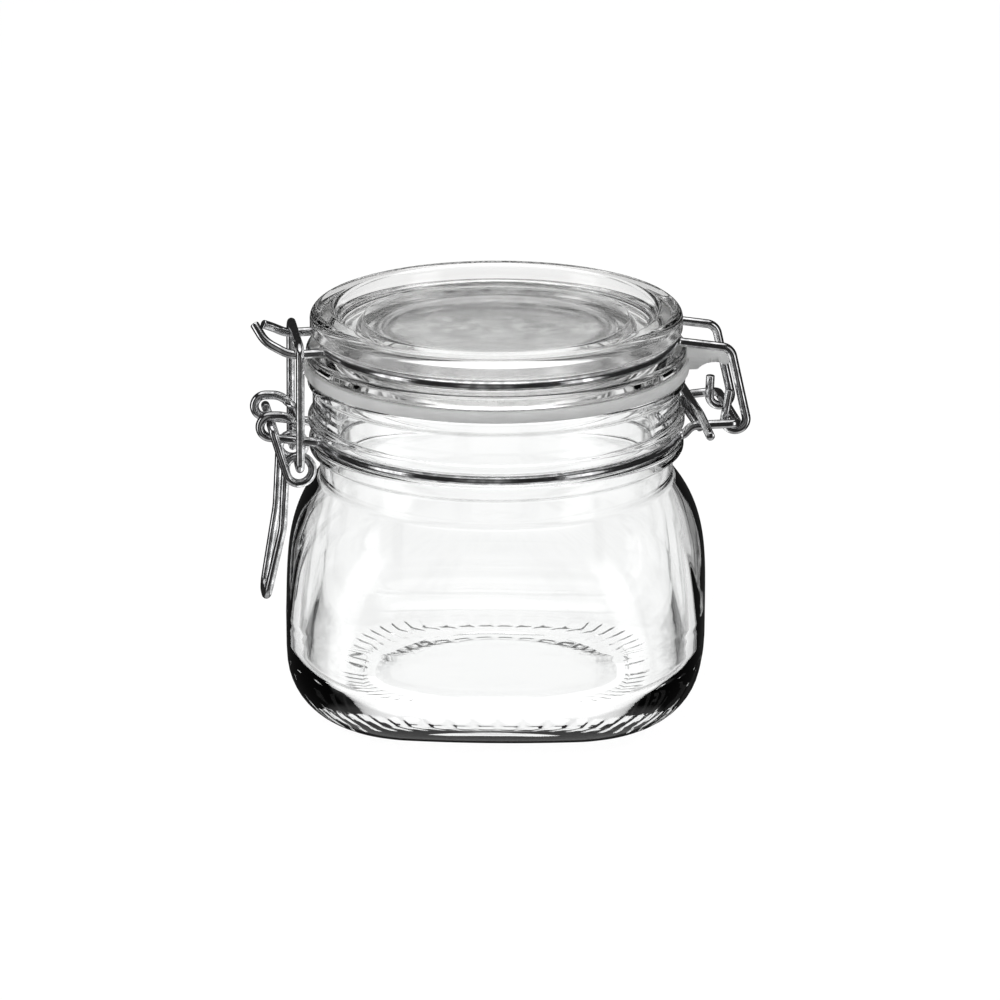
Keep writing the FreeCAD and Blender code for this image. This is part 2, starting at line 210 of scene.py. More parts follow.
@dataclass(frozen=True)
class PressedGlass:
    """Clear pressed glass, faintly wavy from the mould, with a rougher disc where asked for, whose
    colour is darkened by painted shade.
    """

    name: str
    # Colour of the glass; the lid's greyer colour is painted shade, while the jar's is the glass's
    # own.
    tint_and_painted_shade: tuple[float, float, float] = (0.996, 1.0, 0.998)
    refraction: float = 1.5
    ripple_scale: float = 45.0
    ripple_depth: float = 0.00012
    haze: float = 0.0
    haze_radius: float = 0.032
    haze_edge: float = 0.001
    haze_least: float = 0.35
    # How far the disc's colour is darkened: painted shade, standing in for dark reflections and the
    # darker inside seen through the lid.
    painted_shade_darkening: float = 0.35
    mottle_scale: float = 260.0

    def material(self) -> bpy.types.Material:
        """Return the glass as a material; its haze and painted shade lie about the Z axis."""
        made = bpy.data.materials.new(self.name)
        graph = Graph(made)
        place = graph.add("ShaderNodeTexCoord", output="Object")
        level = graph.add(
            "ShaderNodeVectorMath", {0: place, 1: (1.0, 1.0, 0.0)}, {"operation": "MULTIPLY"}
        )
        radius = graph.add("ShaderNodeVectorMath", {0: level}, {"operation": "LENGTH"}, "Value")
        inner = self.haze_radius - self.haze_edge
        disc = radius.ramp(inner, self.haze_radius, self.haze, 0.0)
        mottle = graph.noise(place, self.mottle_scale, 5.0)
        # Mottled disc: its rougher surface is real haze; its darkened colour is painted shade,
        # standing in for dark reflections and the darker inside seen through the lid.
        haze_and_painted_shade = disc * mottle.ramp(*NOISE, self.haze_least, 1.0)
        colour = graph.colour(*(part - haze_and_painted_shade * self.painted_shade_darkening for part in self.tint_and_painted_shade))
        ripple = graph.add(
            "ShaderNodeTexNoise",
            {"Vector": place, "Scale": self.ripple_scale, "Detail": 2.0, "Roughness": 0.4},
        )
        normal = graph.add(
            "ShaderNodeBump",
            {"Height": ripple, "Strength": 1.0, "Distance": self.ripple_depth},
        )
        shader = graph.add("ShaderNodeBsdfPrincipled", {
            "Base Color": colour,
            "Roughness": haze_and_painted_shade,
            "IOR": self.refraction,
            "Transmission Weight": 1.0,
            "Normal": normal,
        })
        graph.surface(shader)
        return made


@dataclass(frozen=True)
class Silicone:
    """Translucent pale silicone with a dull moulded skin."""

    name: str
    colour: tuple[float, float, float] = (0.9, 0.905, 0.9)
    darkest: float = 0.93
    roughness: tuple[float, float] = (0.48, 0.37)
    cloud_scale: float = 140.0
    grain_scale: float = 2600.0
    grain_depth: float = 0.00003
    refraction: float = 1.41
    clearness: float = 0.35
    softness: float = 0.4
    soft_depth: float = 0.004

    def material(self) -> bpy.types.Material:
        """Return the silicone as a material."""
        made = bpy.data.materials.new(self.name)
        graph = Graph(made)
        place = graph.add("ShaderNodeTexCoord", output="Object")
        cloud = graph.noise(place, self.cloud_scale, 4.0)
        grain = graph.noise(place, self.grain_scale, 2.0)
        shade = cloud.ramp(*WIDE_NOISE, self.darkest, 1.0)
        colour = graph.colour(*(shade * part for part in self.colour))
        normal = graph.add(
            "ShaderNodeBump", {"Height": grain, "Strength": 0.5, "Distance": self.grain_depth}
        )
        shader = graph.add("ShaderNodeBsdfPrincipled", {
            "Base Color": colour,
            "Roughness": cloud.ramp(*WIDE_NOISE, *self.roughness),
            "IOR": self.refraction,
            "Transmission Weight": self.clearness,
            "Subsurface Weight": self.softness,
            "Subsurface Radius": (self.soft_depth,) * 3,
            "Subsurface Scale": 1.0,
            "Normal": normal,
        })
        graph.surface(shader)
        return made


@dataclass(frozen=True)
class DrawnSteel:
    """Bright steel wire with fine marks from the drawing die."""

    name: str
    colour: tuple[float, float, float] = (0.80, 0.80, 0.81)
    shades: tuple[float, float] = (0.6, 1.08)
    roughness: tuple[float, float] = (0.22, 0.05)
    mottle_scale: float = 420.0
    mark_scale: float = 3200.0
    mark_depth: float = 0.00002

    def material(self) -> bpy.types.Material:
        """Return the steel as a material."""
        made = bpy.data.materials.new(self.name)
        graph = Graph(made)
        place = graph.add("ShaderNodeTexCoord", output="Object")
        mottle = graph.noise(place, self.mottle_scale, 5.0)
        marks = graph.noise(place, self.mark_scale, 3.0)
        shade = mottle.ramp(*NOISE, *self.shades)
        colour = graph.colour(*(shade * part for part in self.colour))
        normal = graph.add(
            "ShaderNodeBump", {"Height": marks, "Strength": 0.6, "Distance": self.mark_depth}
        )
        shader = graph.add("ShaderNodeBsdfPrincipled", {
            "Base Color": colour,
            "Metallic": 1.0,
            "Roughness": mottle.ramp(*NOISE, *self.roughness),
            "Normal": normal,
        })
        graph.surface(shader)
        return made


# --- modelling helpers ---

def clear_selection() -> None:
    """Deselect every object, so that the next operator acts on its own piece alone."""
    for other in bpy.context.selected_objects:
        other.select_set(False)


def take_up(piece: bpy.types.Object) -> None:
    """Make one piece the only selected and active object."""
    clear_selection()
    piece.select_set(True)
    bpy.context.view_layer.objects.active = piece


def rounded(corners: list[tuple[Vector, float]], step: float) -> list[Vector]:
    """Follow a run of corners with tangent arcs.

    Args:
        corners: Each corner and the radius that it is rounded to.
        step: Largest turn between neighbouring points of an arc, in degrees.

    Returns:
        The points of the rounded run, first and last corner included.
    """
    points = [corners[0][0].copy()]
    for (before, _), (corner, radius), (after, _) in zip(corners, corners[1:], corners[2:]):
        arriving = (corner - before).normalized()
        leaving = (after - corner).normalized()
        turn = arriving.angle(leaving, 0.0)
        if radius <= 0 or turn < STRAIGHT:
            points.append(corner.copy())
            continue
        inward = (leaving - arriving).normalized()
        centre = corner + inward * radius / math.cos(turn / 2)
        spoke = corner - arriving * radius * math.tan(turn / 2) - centre
        count = max(2, math.ceil(math.degrees(turn) / step))
        for number in range(count + 1):
            angle = turn * number / count
            points.append(centre + spoke * math.cos(angle) + arriving * radius * math.sin(angle))
    points.append(corners[-1][0].copy())
    tidy = [points[0]]
    for point in points[1:]:
        if (point - tidy[-1]).length > 2 * MERGE:
            tidy.append(point)
    return tidy


def shut_poles(piece: bpy.types.Object, reach: float) -> None:
    """Draw each end loop together on the axis, then turn the faces outwards and smooth them.

    Args:
        piece: A wall of revolution whose end loops lie close to the Z axis.
        reach: Distance from the axis within which a vertex belongs to an end loop.
    """
    take_up(piece)
    mesh = piece.data
    mesh.update()
    coords = np.empty(len(mesh.vertices) * 3)
    mesh.vertices.foreach_get("co", coords)
    ends = np.hypot(coords[0::3], coords[1::3]) < reach
    mesh.vertices.foreach_set("select", ends)
    mesh.edges.foreach_set("select", np.zeros(len(mesh.edges), bool))
    mesh.polygons.foreach_set("select", np.zeros(len(mesh.polygons), bool))
    bpy.ops.object.mode_set(mode="EDIT")
    bpy.ops.mesh.merge(type="COLLAPSE")
    bpy.ops.mesh.select_all(action="SELECT")
    bpy.ops.mesh.normals_make_consistent(inside=False)
    bpy.ops.object.mode_set(mode="OBJECT")
    bpy.ops.object.shade_smooth()


def outline(corners: list[tuple[float, float, float]], step: float = 15.0) -> Profile:
    """Round a profile that is given as (radius, height, rounding) in millimetres.

    Args:
        corners: The profile's corners from one end to the other.
        step: Largest turn between neighbouring points, in degrees.

    Returns:
        Points as (radius, height) in metres.
    """
    run = [(Vector((radius, 0, height)) * MM, bend * MM) for radius, height, bend in corners]
    return [(point.x, point.z) for point in rounded(run, step)]


def tips_added(points: list[Vector], tips: list[Vector], end: int) -> list[Vector]:
    """Put extra points next to one end of a run, where the wire's cut edge is rounded."""
    if end == 0:
        return [points[0], *tips, *points[1:]]
    return [*points[:-1], *reversed(tips), points[-1]]


def turned(name: str, profile: Profile, steps: int) -> bpy.types.Object:
    """Spin an open profile that starts and ends on the axis into a closed solid.

    Args:
        name: Name of the new piece.
        profile: Points as (radius, height) in metres.
        steps: Number of steps round the axis.

    Returns:
        The finished piece, smooth, with outward faces.
    """
    clear_selection()
    bpy.ops.mesh.primitive_plane_add(size=0.001, location=(0, 0, 0))
    piece = bpy.context.object
    piece.name = piece.data.name = name
    bpy.ops.object.mode_set(mode="EDIT")
    bpy.ops.mesh.select_all(action="SELECT")
    bpy.ops.mesh.merge(type="CENTER")
    start = Vector((profile[0][0], 0, profile[0][1]))
    bpy.ops.transform.translate(value=start)
    for (radius, height), (next_radius, next_height) in zip(profile, profile[1:]):
        move = (next_radius - radius, 0, next_height - height)
        bpy.ops.mesh.extrude_region_move(TRANSFORM_OT_translate={"value": move})
    bpy.ops.mesh.select_all(action="SELECT")
    bpy.ops.mesh.spin(steps=steps, angle=2 * math.pi, center=(0, 0, 0), axis=(0, 0, 1))
    bpy.ops.mesh.select_all(action="SELECT")
    bpy.ops.mesh.remove_doubles(threshold=MERGE)
    bpy.ops.mesh.normals_make_consistent(inside=False)
    bpy.ops.object.mode_set(mode="OBJECT")
    bpy.ops.object.shade_smooth()
    return piece


# --- glass jar ---

@dataclass(frozen=True)
class Ring:
    """One level outline of the jar: four shallow side arcs and four corner arcs."""

    half_width: float
    corner: float
    arc: float
    height: float
    knurl: float = 0.0


@dataclass
class JarBody:
    """Square glass body that grows into a round neck, as one closed wall. Millimetres."""

    finish: PressedGlass
    body_width: float = 103.6
    base_width: float = 69.0
    heel_height: float = 18.0
    full_height: float = 25.9
    shoulder_height: float = 57.5
    shoulder_fullness: float = 3.3
    corner_radius: float = 29.9
    base_corner_radius: float = 16.3
    side_arc: float = 6.4
    body_turn: float = -9.0
    wall: float = 3.2
    floor_height: float = 6.0
    recess_rise: float = 0.7
    recess_inset: float = 3.0
    recess_foot: float = 1.5
    bearing_start: float = 2.3
    bearing_steps: int = 7
    pole: float = 0.3
    recess_radius: float = 29.0
    waist_radius: float = 43.4
    neck_radius: float = 45.0
    bead_reach: float = 1.2
    bead_width: float = 2.0
    bead_setback: float = 0.8
    groove_depth: float = 1.5
    groove_width: float = 3.2
    groove_height: float = 69.0
    mouth_radius: float = 40.0
    collar_width: float = 3.0
    land_height: float = 83.7
    knurl_depth: float = 0.4
    knurl_pitch: int = 8
    knurl_gap: int = 3
    columns: int = 54

    def round_ring(self, radius: float, height: float) -> Ring:
        """Return a circular outline."""
        return Ring(radius, radius, 22.5, height)

    def form(self, inset: float, bottom: float, counts: tuple[int, int]) -> list[Ring]:
        """Return outlines from the bottom of the heel to the waist.

        Args:
            inset: 0 for the outside, or the wall for the hollow.
            bottom: Height of the lowest outline.
            counts: Steps of the heel and of the sides.

        Returns:
            The outlines, lowest first.
        """
        base = self.base_width / 2 - inset
        full = self.body_width / 2 - inset
        top = self.waist_radius - inset
        base_plan = self.base_corner_radius - inset
        full_plan = self.corner_radius - inset
        heel = self.heel_height - inset
        rings = []
        for number in range(counts[0]):
            lift = math.radians(90 * number / counts[0])
            half = base + (full - base) * math.sin(lift)
            plan = base_plan + (full_plan - base_plan) * math.sin(lift)
            height = bottom + heel * (1 - math.cos(lift))
            knurl = self.knurl_depth if inset == 0 and number in (1, 2) else 0.0
            rings.append(Ring(half, plan, self.side_arc, height, knurl))
        foot = bottom + heel
        for number in range(2):
            height = foot + (self.full_height - foot) * number / 2
            rings.append(Ring(full, full_plan, self.side_arc, height))
        for number in range(counts[1] + 1):
            share = number / counts[1]
            half = full + (top - full) * share ** self.shoulder_fullness
            plan = full_plan + (top - full_plan) * share
            height = self.full_height + (self.shoulder_height - self.full_height) * share
            rings.append(Ring(half, plan, self.side_arc + (22.5 - self.side_arc) * share, height))
        return rings

    def underside(self) -> list[Ring]:
        """Return the outlines of the domed recess and of the bearing ring round it."""
        recess = outline([
            (self.pole, self.recess_rise, 0),
            (self.recess_radius - self.recess_inset, self.recess_rise, 30.0),
            (self.recess_radius + self.recess_foot, 0, 3.0),
            (self.recess_radius + self.bearing_start, 0, 0),
        ], 4.0)
        rings = [
            self.round_ring(self.pole + (recess[1][0] / MM - self.pole) * number / 6,
                            self.recess_rise)
            for number in range(6)
        ]
        rings += [self.round_ring(radius / MM, height / MM) for radius, height in recess[1:]]
        start = self.recess_radius + self.bearing_start
        end = self.base_width / 2
        plan = self.base_corner_radius
        for number in range(1, self.bearing_steps):
            share = number / self.bearing_steps
            rings.append(Ring(
                start + (end - start) * share,
                start + (plan - start) * share,
                22.5 + (self.side_arc - 22.5) * share,
                0.0,
                self.knurl_depth / 2 if number >= self.bearing_steps - 2 else 0.0,
            ))
        return rings

    def neck(self) -> list[Ring]:
        """Return the outlines of the neck, up its outside and down its bore."""
        groove_low = self.groove_height - self.groove_width / 2
        groove_high = self.groove_height + self.groove_width / 2
        groove = self.neck_radius - self.groove_depth
        bead = self.neck_radius + self.bead_reach
        low_bead = groove_high + self.bead_width
        high_bead = self.land_height - self.bead_setback - self.bead_width
        throat = self.waist_radius - self.wall
        collar = bead - 0.2
        profile = outline([
            (self.waist_radius, self.shoulder_height + 0.4, 0),
            (self.waist_radius, groove_low - self.collar_width - 0.6, 1.6),
            (collar, groove_low - self.collar_width, 0.9),
            (collar, groove_low, 0.7),
            (groove, groove_low, 0.9),
            (groove, groove_high, 0.9),
            (bead, groove_high, 0.8),
            (bead, low_bead, 0.8),
            (self.neck_radius, low_bead + 0.6, 1.0),
            (self.neck_radius, high_bead - 0.6, 1.0),
            (bead, high_bead, 0.8),
            (bead, high_bead + self.bead_width, 0.8),
            (self.neck_radius + 0.4, self.land_height, 0.6),
            (self.mouth_radius, self.land_height, 1.2),
            (self.mouth_radius, groove_high, 5.0),
            (throat, self.shoulder_height + 2.0, 3.0),
            (throat, self.shoulder_height + 0.2, 0),
        ], 20.0)
        return [self.round_ring(radius / MM, height / MM) for radius, height in profile]

    def rings(self) -> list[Ring]:
        """Return every outline, from the middle of the underside to the middle of the floor."""
        outside = self.form(0, 0, (14, 30))
        hollow = self.form(self.wall, self.floor_height, (12, 30))
        floor = []
        edge = hollow[0]
        for share in (0.97, 0.9, 0.75, 0.5, 0.25, 0.01):
            half = edge.half_width * share
            corner = edge.corner + (edge.half_width - edge.corner) * (1 - share)
            arc = edge.arc + (22.5 - edge.arc) * (1 - share)
            floor.append(Ring(half, min(corner * share, half), arc, self.floor_height))
        return self.underside() + outside + self.neck() + hollow[::-1] + floor

    def place(self, ring: Ring) -> np.ndarray:
        """Return the points of one outline in metres, in order round it."""
        arc = math.radians(ring.arc)
        cosine, sine = math.cos(arc), math.sin(arc)
        side = (ring.half_width - ring.corner * (cosine - sine)) / (1 - cosine + sine)
        middle = (side - ring.corner) * sine
        along = np.arange(self.columns) / self.columns
        flat = -arc + 2 * arc * along
        bent = arc + (math.pi / 2 - 2 * arc) * along
        x = np.concatenate([
            ring.half_width - side + side * np.cos(flat), middle + ring.corner * np.cos(bent)
        ])
        y = np.concatenate([side * np.sin(flat), middle + ring.corner * np.sin(bent)])
        points = []
        for quarter in range(4):
            angle = math.radians(self.body_turn + 90 * quarter)
            points.append(np.stack([
                x * math.cos(angle) - y * math.sin(angle),
                x * math.sin(angle) + y * math.cos(angle),
                np.full(len(x), ring.height),
            ], axis=1))
        made = np.concatenate(points)
        made[np.arange(len(made)) % self.knurl_pitch >= self.knurl_gap, 2] += ring.knurl
        return made * MM

    def build(self) -> bpy.types.Object:
        """Return the finished jar.

        A circle is extruded once for each outline, then each loop takes its outline's place.
        """
        rings = self.rings()
        count = 8 * self.columns
        clear_selection()
        bpy.ops.mesh.primitive_circle_add(vertices=count, radius=1.0, location=(0, 0, 0))
        piece = bpy.context.object
        piece.name = piece.data.name = "glass_jar"
        bpy.ops.object.mode_set(mode="EDIT")
        bpy.ops.mesh.select_all(action="SELECT")
        for _ in rings[1:]:
            bpy.ops.mesh.extrude_region_move(TRANSFORM_OT_translate={"value": (0, 0, 1)})
        bpy.ops.object.mode_set(mode="OBJECT")
        mesh = piece.data
        coords = np.empty(len(mesh.vertices) * 3)
        mesh.vertices.foreach_get("co", coords)
        coords = coords.reshape(-1, 3)
        level = np.rint(coords[:, 2]).astype(int)
        column = np.rint(np.arctan2(coords[:, 1], coords[:, 0]) / (2 * math.pi) * count)
        column = column.astype(int) % count
        placed = np.stack([self.place(ring) for ring in rings])
        mesh.vertices.foreach_set("co", placed[level, column].ravel())
        shut_poles(piece, 2 * self.pole * MM)
        piece.data.materials.append(self.finish.material())
        return piece


# --- lid ---

@dataclass
class Lid:
    """Pressed glass lid with a flange, a groove for its wire, a raised rim and a dished disc."""

    finish: PressedGlass
    underside: float
    height: float = 12.7
    flange_radius: float = 46.5
    flange_height: float = 3.4
    bead_radius: float = 45.45
    groove_radius: float = 42.3
    rim_width: float = 6.0
    disc_radius: float = 32.6
    well_depth: float = 4.4
    disc_rise: float = 2.0
    disc_dish: float = 1.2
    spigot_depth: float = 2.4
    spigot_radius: float = 40.1
    hollow_radius: float = 34.0
    hollow_depth: float = 5.8
    wire: float = 2.2
    wire_room: float = 0.8
    steps: int = 320

    def build(self) -> bpy.types.Object:
        """Return the finished lid."""
        top = self.underside + self.height
        flange_top = self.underside + self.flange_height
        groove_height = flange_top + self.wire / 2 + self.wire_room
        bead_low = groove_height + self.wire / 2 + self.wire_room
        rim_inner = self.bead_radius - self.rim_width
        well = top - self.well_depth
        disc = well + self.disc_rise
        spigot = self.underside - self.spigot_depth
        profile = outline([
            (0, spigot + self.hollow_depth, 0),
            (self.hollow_radius - 6, spigot + self.hollow_depth, 8.0),
            (self.hollow_radius, spigot, 1.5),
            (self.spigot_radius, spigot, 0.8),
            (self.spigot_radius, self.underside, 0.5),
            (self.flange_radius, self.underside, 0.8),
            (self.flange_radius, flange_top, 1.2),
            (self.groove_radius, flange_top + 0.3, 0.9),
            (self.groove_radius, bead_low - 0.2, 0.9),
            (self.bead_radius, bead_low, 1.0),
            (self.bead_radius, top, 2.4),
            (rim_inner, top, 1.6),
            (rim_inner - 1.6, well, 1.6),
            (self.disc_radius + 1.2, well, 0.8),
            (self.disc_radius, disc, 0.8),
            (self.disc_radius * 0.55, disc - self.disc_dish, 30.0),
            (0, disc - self.disc_dish, 0),
        ], 10.0)
        piece = turned("glass_lid", profile, self.steps)
        piece.data.materials.append(self.finish.material())
        return piece


# --- wires ---

@dataclass
class BentWire:
    """A wire that is bent through corners, each with its own radius. Millimetres."""

    finish: bpy.types.Material
    wire: float = 2.2
    latch_wire: float = 2.1
    seat_gap: float = 0.12
    running_gap: float = 0.3
    tight_bend: float = 2.0
    open_bend: float = 3.2
    sides: int = 10
    tip_places: tuple[float, ...] = (0.04, 0.1, 0.2)
    tip_sizes: tuple[float, ...] = (0.8, 0.93, 0.985)

    def draw(self, name: str, diameter: float, corners: Route) -> bpy.types.Object:
        """Draw the wire along its corners, with slightly rounded cut ends.

        Args:
            name: Name of the new piece.
            diameter: Diameter of the wire.
            corners: Each corner and the radius of its bend, from one cut end to the other.

        Returns:
            The finished wire.
        """
        points = rounded([(point * MM, bend * MM) for point, bend in corners], 6.0)
        for end, beside in ((0, 1), (-1, -2)):
            inward = (points[beside] - points[end]).normalized()
            tips = [points[end] + inward * diameter * MM * share for share in self.tip_places]
            points = tips_added(points, tips, end)
        clear_selection()
        bpy.ops.curve.primitive_nurbs_path_add(location=(0, 0, 0))
        piece = bpy.context.object
        piece.name = piece.data.name = name
        curve = piece.data
        spline = curve.splines[0]
        spline.type = "POLY"
        spline.points.add(len(points) - len(spline.points))
        for number, point in enumerate(points):
            spline.points[number].co = (*point, 1.0)
            spline.points[number].radius = 1.0
            spline.points[number].tilt = 0.0
        for number, share in enumerate(self.tip_sizes):
            spline.points[number].radius = share
            spline.points[-1 - number].radius = share
        curve.dimensions = "3D"
        curve.twist_mode = "MINIMUM"
        curve.bevel_depth = diameter * MM / 2
        curve.bevel_resolution = self.sides
        curve.use_fill_caps = True
        take_up(piece)
        bpy.ops.object.convert(target="MESH")
        piece = bpy.context.object
        bpy.ops.object.mode_set(mode="EDIT")
        bpy.ops.mesh.select_all(action="SELECT")
        bpy.ops.mesh.remove_doubles(threshold=MERGE)
        bpy.ops.mesh.normals_make_consistent(inside=False)
        bpy.ops.object.mode_set(mode="OBJECT")
        bpy.ops.object.shade_smooth_by_angle(angle=math.radians(50))
        piece.data.materials.clear()
        piece.data.materials.append(self.finish)
        return piece

    def mirrored(self, corners: Route) -> Route:
        """Return the same corners on the other side of the XZ plane, in the opposite order."""
        return [(Vector((p.x, -p.y, p.z)), bend) for p, bend in reversed(corners)]

    def wrap(
        self, pin: Vector, radius: float, before: Vector, after: Vector, winding: int
    ) -> Route:
        """Bend the wire round a pin that lies along Y.

        Args:
            pin: A point on the pin's axis.
            radius: Radius of the bend.
            before: Where the wire comes from.
            after: Where it goes on to.
            winding: +1 for a turn from +X towards +Z, -1 for the other way.

        Returns:
            Corners that step evenly from the first point's Y to the last one's.
        """
        angles = []
        for point, side in ((before, winding), (after, -winding)):
            across, up = point.x - pin.x, point.z - pin.z
            off = math.acos(radius / math.hypot(across, up))
            angles.append(math.atan2(up, across) + side * off)
        turn = winding * (angles[1] - angles[0]) % (2 * math.pi)
        count = math.ceil(turn / math.radians(75))
        reach = radius / math.cos(turn / count / 2)
        corners = []
        for number in range(count):
            angle = angles[0] + winding * turn * (number + 0.5) / count
            along = before.y + (after.y - before.y) * number / max(count - 1, 1)
            spot = (pin.x + reach * math.cos(angle), along, pin.z + reach * math.sin(angle))
            corners.append((Vector(spot), radius))
        return corners

    def ring(self, radius: float, height: float, start: float, end: float) -> Route:
        """Return corners whose bends together make a level arc about Z between two angles."""
        count = math.ceil(abs(end - start) / math.radians(60))
        step = (end - start) / count
        reach = radius / math.cos(step / 2)
        corners = []
        for number in range(count):
            angle = start + step * (number + 0.5)
            spot = (reach * math.cos(angle), reach * math.sin(angle), height)
            corners.append((Vector(spot), radius))
        return corners

    def leave_angle(self, radius: float, half_width: float) -> float:
        """Return the angle from the X axis at which the wire leaves its ring along X."""
        return math.asin((half_width + self.tight_bend) / radius)

    def leave(self, radius: float, half_width: float, height: float, side: int) -> Route:
        """Return the corner at which the wire that left its ring turns out along X."""
        angle = self.leave_angle(radius, half_width)
        across = radius * math.cos(angle) + self.tight_bend * math.tan(angle)
        return [(Vector((side * across, half_width, height)), self.tight_bend)]


@dataclass
class NeckWire(BentWire):
    """Ring in the neck's groove, two eyes for the lever, and the loop of the hinge."""

    hinge_pin: Vector = field(default_factory=Vector)
    lever_pin: Vector = field(default_factory=Vector)
    height: float = 69.0
    ring_radius: float = 44.72
    bead_radius: float = 46.2
    hinge_half_width: float = 14.0
    tail_reach: float = 4.2
    tail_rise: float = 3.4
    tail_start: float = 3.2
    tail_end: float = 25.0
    tail_end_drop: float = 0.75
    tail_crest: float = 73.95
    tail_crest_inset: float = 0.6
    tail_crest_bend: float = 14.0
    eye_half_width: float = 8.9
    eye_radius: float = 2.75
    eye_bar_inset: float = 7.3
    eye_bar_drop: float = 0.9
    eye_knee_drop: float = 0.15
    eye_knee_bend: float = 5.0
    strand_foot: float = 44.2
    strand_top: float = 46.3
    strand_level: float = 71.42

    def tail(self) -> tuple[Route, float]:
        """Return the slightly bowed tail up to the ring, and the angle at which it joins it."""
        across = self.ring_radius + self.tail_reach
        height = self.height + self.tail_rise
        inward = across - self.tail_crest_inset
        crest = Vector((inward, -self.hinge_half_width, self.tail_crest))
        end = Vector((across, -self.tail_end, height - self.tail_end_drop))
        start = Vector((across, self.hinge_half_width + self.tail_start, height))
        joins = math.atan2(start.y, start.x)
        joins += math.acos(self.ring_radius / math.hypot(start.x, start.y))
        level = math.sqrt((self.bead_radius + self.wire) ** 2 - self.ring_radius ** 2)
        lift_off = Vector((
            self.ring_radius * math.cos(joins) + level * math.sin(joins),
            self.ring_radius * math.sin(joins) - level * math.cos(joins),
            self.height,
        ))
        route = [(end, 0), (crest, self.tail_crest_bend)]
        return route + [(start, self.open_bend), (lift_off, self.open_bend)], joins

    def closing_end(self) -> Route:
        """Return the end of the rear hinge strand: under the tail, then forward along it."""
        across = self.ring_radius + self.tail_reach
        half = self.hinge_half_width
        low = self.height + self.tail_rise - self.wire - self.seat_gap
        spots = (
            (across + 1.9, half, self.hinge_pin.z - 0.55, 1.6),
            (across - 0.5, half, low - 0.65, 1.5),
            (across + 0.1, self.wire + 2.4 - half, low - 0.75, 0),
        )
        return [(Vector(spot[:3]), spot[3]) for spot in spots]

    def eye(self) -> Route:
        """Return the rear eye, from the ring to the bar that joins the eyes."""
        half = self.eye_half_width
        start = self.leave(self.ring_radius, half, self.height, -1)
        pin = Vector((self.lever_pin.x, half, self.lever_pin.z))
        knee = pin + Vector((self.eye_bar_inset / 2, 0, self.eye_radius - self.eye_knee_drop))
        bar = pin + Vector((self.eye_bar_inset, 0, -self.eye_bar_drop))
        turn = self.wrap(pin, self.eye_radius, start[0][0], knee, -1)
        return start + turn + [(knee, self.eye_knee_bend), (bar, self.open_bend)]

    def build(self) -> bpy.types.Object:
        """Return the finished wire."""
        tail, joins = self.tail()
        off_eye = self.leave_angle(self.ring_radius, self.eye_half_width)
        off_hinge = self.leave_angle(self.ring_radius, self.hinge_half_width)
        half = self.hinge_half_width
        bar_end = [(Vector((self.hinge_pin.x, half, self.hinge_pin.z)), self.tight_bend)]
        to_hinge = self.leave(self.ring_radius, half, self.height, 1)
        to_hinge.append((Vector((self.strand_foot, half, self.height + 0.2)), 0.9))
        to_hinge.append((Vector((self.strand_top, half, self.strand_level)), 3.0))
        route = tail + self.ring(self.ring_radius, self.height, joins, math.pi - off_eye)
        route += self.eye() + self.mirrored(self.eye())
        route += self.ring(self.ring_radius, self.height, off_eye - math.pi, -off_hinge)
        route += self.mirrored(bar_end + to_hinge[::-1]) + bar_end + self.closing_end()
        return self.draw("neck_wire_bright", self.wire, route)


